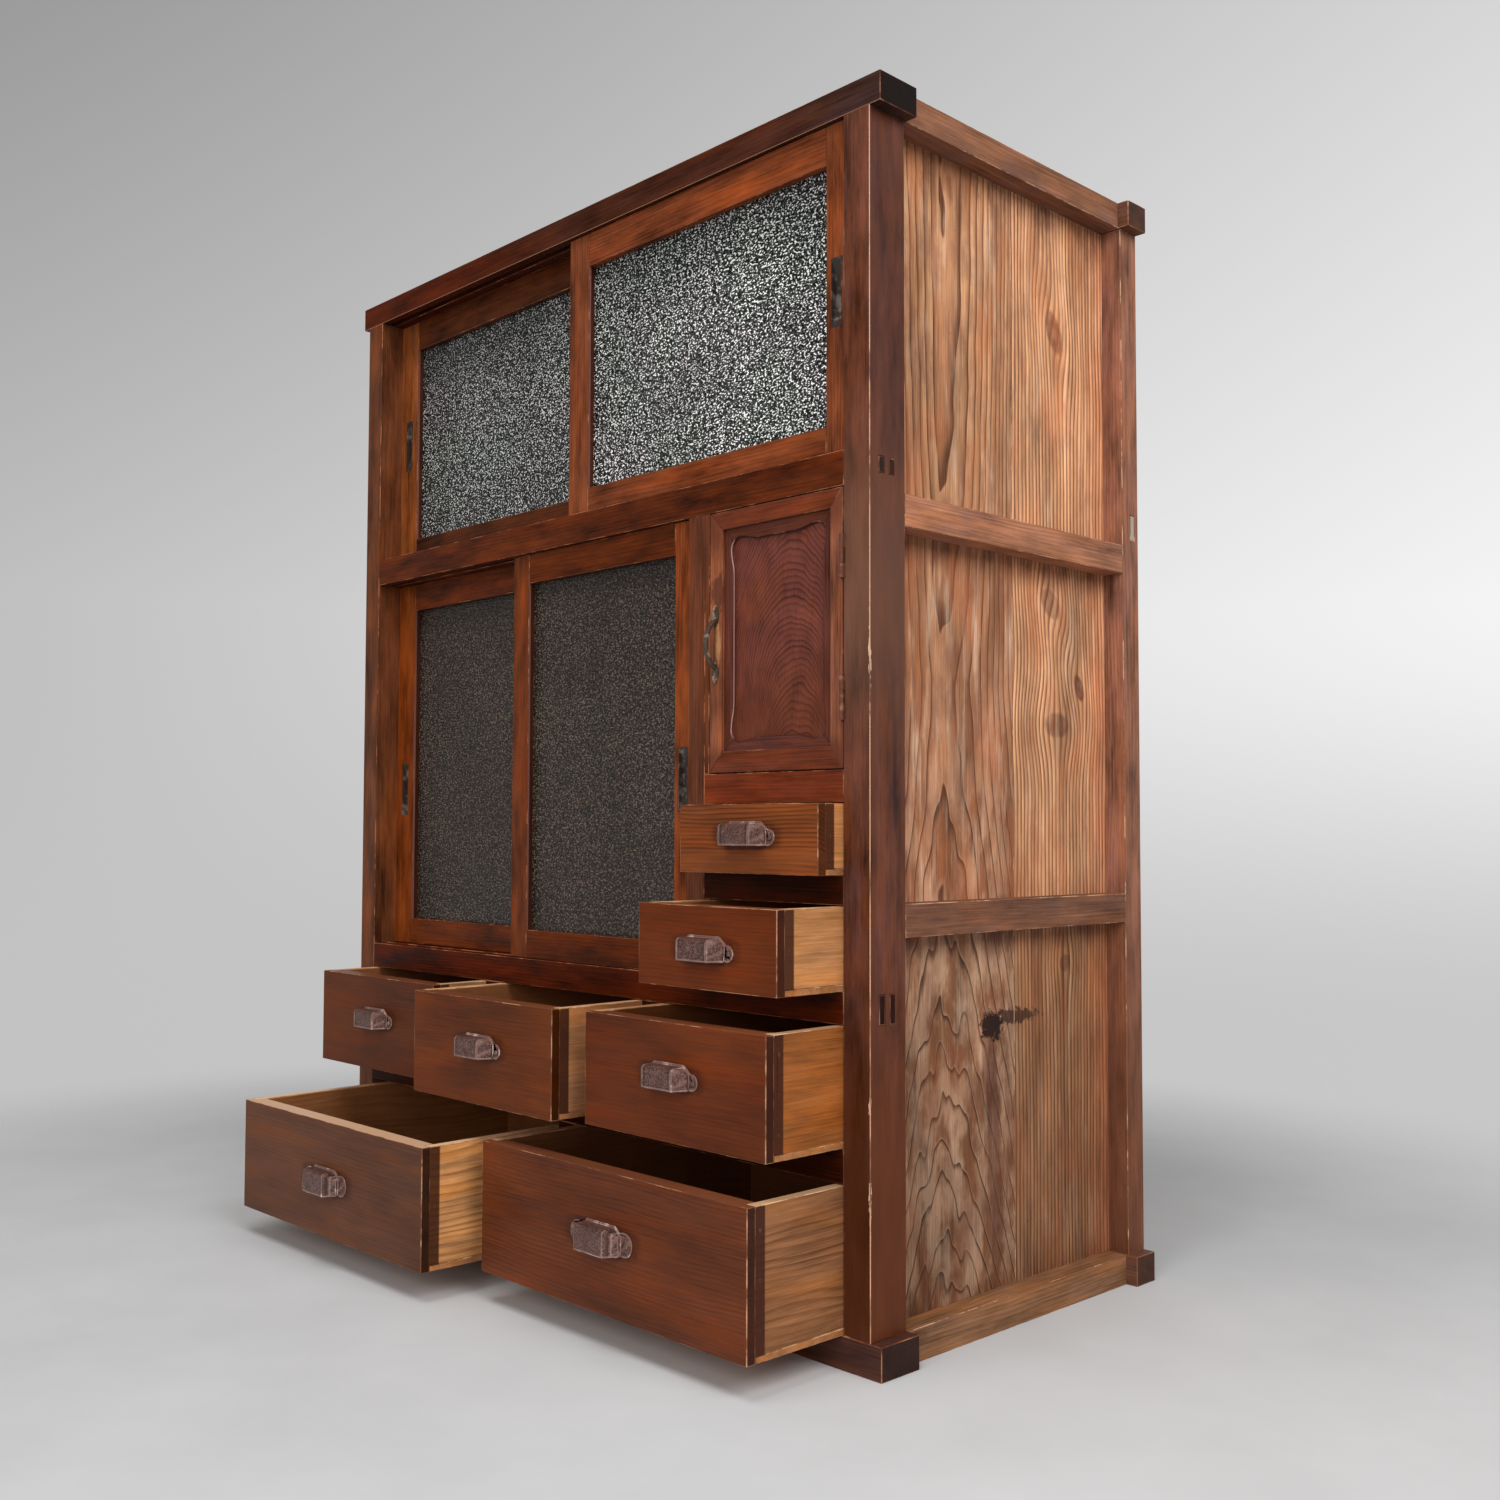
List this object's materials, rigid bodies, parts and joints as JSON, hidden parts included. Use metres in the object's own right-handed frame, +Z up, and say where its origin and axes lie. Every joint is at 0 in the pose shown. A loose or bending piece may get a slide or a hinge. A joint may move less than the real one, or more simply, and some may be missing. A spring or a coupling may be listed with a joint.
{
  "type": "tea cabinet",
  "caption": "Tall east asian tea cabinet in red-brown wood with patterned glass sliding doors, a small fretted cupboard door and drawers with cup pulls",
  "frame": {"origin": "middle of the underside of the front base rail, on the floor", "axes": "+X to the cabinet's right hand side as seen from the front, +Y to its back, +Z up"},
  "size_m": [0.91, 0.637, 1.177],
  "materials": {
    "lacquered_timber": "dark red-brown lacquer, worn on the edges",
    "bare_timber": "unlacquered softwood, tan brown and dusty",
    "bare_boards": "unlacquered cedar boards with open grain and knots",
    "inner_boards": "plain inner boards, aged brown",
    "door_wood": "orange-brown lacquer, half gloss",
    "figured_panel": "dark figured board with arched grain, half gloss",
    "drawer_front_wood": "red-brown lacquer, satin",
    "drawer_box_wood": "plain pale softwood",
    "patterned_glass": "figured glass, rough and half clear",
    "dark_metal": "dark aged iron",
    "aged_brass": "aged brass with grey patina",
    "aged_copper": "purple-brown patina on stamped sheet metal"
  },
  "bodies": {
    "cabinet": {"front_top_rail": "lacquered_timber", "front_base_rail": "lacquered_timber", "front_post_left": "lacquered_timber", "front_post_right": "lacquered_timber", "rear_rails": "bare_timber", "rear_posts": "bare_timber", "side_rails_left": "bare_timber", "side_rails_right": "bare_timber", "side_boards_left": "bare_boards", "side_boards_right": "bare_boards", "back_boards": "bare_boards", "top_board": "bare_boards", "bottom_board": "bare_boards", "mid_rail": "lacquered_timber", "sill_rail": "lacquered_timber", "drawer_rails": "lacquered_timber", "column_post": "lacquered_timber", "drawer_dividers": "lacquered_timber", "floor_boards": "inner_boards", "partition": "inner_boards", "drawer_runners": "inner_boards", "hinge_fixed_leaves": "dark_metal"},
    "upper_left_door": {"upper_left_door_frame": "door_wood", "upper_left_door_glass": "patterned_glass", "upper_left_door_finger_pull": "dark_metal"},
    "upper_right_door": {"upper_right_door_frame": "door_wood", "upper_right_door_glass": "patterned_glass", "upper_right_door_finger_pull": "dark_metal"},
    "lower_left_door": {"lower_left_door_frame": "door_wood", "lower_left_door_glass": "patterned_glass", "lower_left_door_finger_pull": "dark_metal"},
    "lower_right_door": {"lower_right_door_frame": "door_wood", "lower_right_door_glass": "patterned_glass", "lower_right_door_finger_pull": "dark_metal"},
    "cupboard_door": {"cupboard_door_frame": "door_wood", "cupboard_door_fret": "door_wood", "cupboard_door_panel": "figured_panel", "cupboard_door_handle": "aged_brass", "hinge_moving_leaves": "dark_metal"},
    "column_upper_drawer": {"column_upper_drawer_front": "drawer_front_wood", "column_upper_drawer_box": "drawer_box_wood", "column_upper_drawer_pull": "aged_copper"},
    "column_lower_drawer": {"column_lower_drawer_front": "drawer_front_wood", "column_lower_drawer_box": "drawer_box_wood", "column_lower_drawer_pull": "aged_copper"},
    "row_right_drawer": {"row_right_drawer_front": "drawer_front_wood", "row_right_drawer_box": "drawer_box_wood", "row_right_drawer_pull": "aged_copper"},
    "row_middle_drawer": {"row_middle_drawer_front": "drawer_front_wood", "row_middle_drawer_box": "drawer_box_wood", "row_middle_drawer_pull": "aged_copper"},
    "row_left_drawer": {"row_left_drawer_front": "drawer_front_wood", "row_left_drawer_box": "drawer_box_wood", "row_left_drawer_pull": "aged_copper"},
    "bottom_left_drawer": {"bottom_left_drawer_front": "drawer_front_wood", "bottom_left_drawer_box": "drawer_box_wood", "bottom_left_drawer_pull": "aged_copper"},
    "bottom_right_drawer": {"bottom_right_drawer_front": "drawer_front_wood", "bottom_right_drawer_box": "drawer_box_wood", "bottom_right_drawer_pull": "aged_copper"}
  },
  "joints": [
    {"name": "upper_left_door_slide", "type": "slide", "parent": "cabinet", "child": "upper_left_door", "axis": [1, 0, 0], "range_m": [0, 0.3975]},
    {"name": "upper_right_door_slide", "type": "slide", "parent": "cabinet", "child": "upper_right_door", "axis": [-1, 0, 0], "range_m": [0, 0.3975]},
    {"name": "lower_left_door_slide", "type": "slide", "parent": "cabinet", "child": "lower_left_door", "axis": [1, 0, 0], "range_m": [0, 0.2945]},
    {"name": "lower_right_door_slide", "type": "slide", "parent": "cabinet", "child": "lower_right_door", "axis": [-1, 0, 0], "range_m": [0, 0.2945]},
    {"name": "cupboard_door_hinge", "type": "hinge", "parent": "cabinet", "child": "cupboard_door", "pos_m": [0.4095, -0.0285, 0.671], "axis": [0, 0, 1], "range_deg": [0, 170]},
    {"name": "column_upper_drawer_slide", "type": "slide", "parent": "cabinet", "child": "column_upper_drawer", "axis": [0, -1, 0], "range_m": [-0.033, 0.287]},
    {"name": "column_lower_drawer_slide", "type": "slide", "parent": "cabinet", "child": "column_lower_drawer", "axis": [0, -1, 0], "range_m": [-0.085, 0.235]},
    {"name": "row_right_drawer_slide", "type": "slide", "parent": "cabinet", "child": "row_right_drawer", "axis": [0, -1, 0], "range_m": [-0.098, 0.222]},
    {"name": "row_middle_drawer_slide", "type": "slide", "parent": "cabinet", "child": "row_middle_drawer", "axis": [0, -1, 0], "range_m": [-0.115, 0.205]},
    {"name": "row_left_drawer_slide", "type": "slide", "parent": "cabinet", "child": "row_left_drawer", "axis": [0, -1, 0], "range_m": [-0.071, 0.249]},
    {"name": "bottom_left_drawer_slide", "type": "slide", "parent": "cabinet", "child": "bottom_left_drawer", "axis": [0, -1, 0], "range_m": [-0.172, 0.148]},
    {"name": "bottom_right_drawer_slide", "type": "slide", "parent": "cabinet", "child": "bottom_right_drawer", "axis": [0, -1, 0], "range_m": [-0.12, 0.2]}
  ]
}
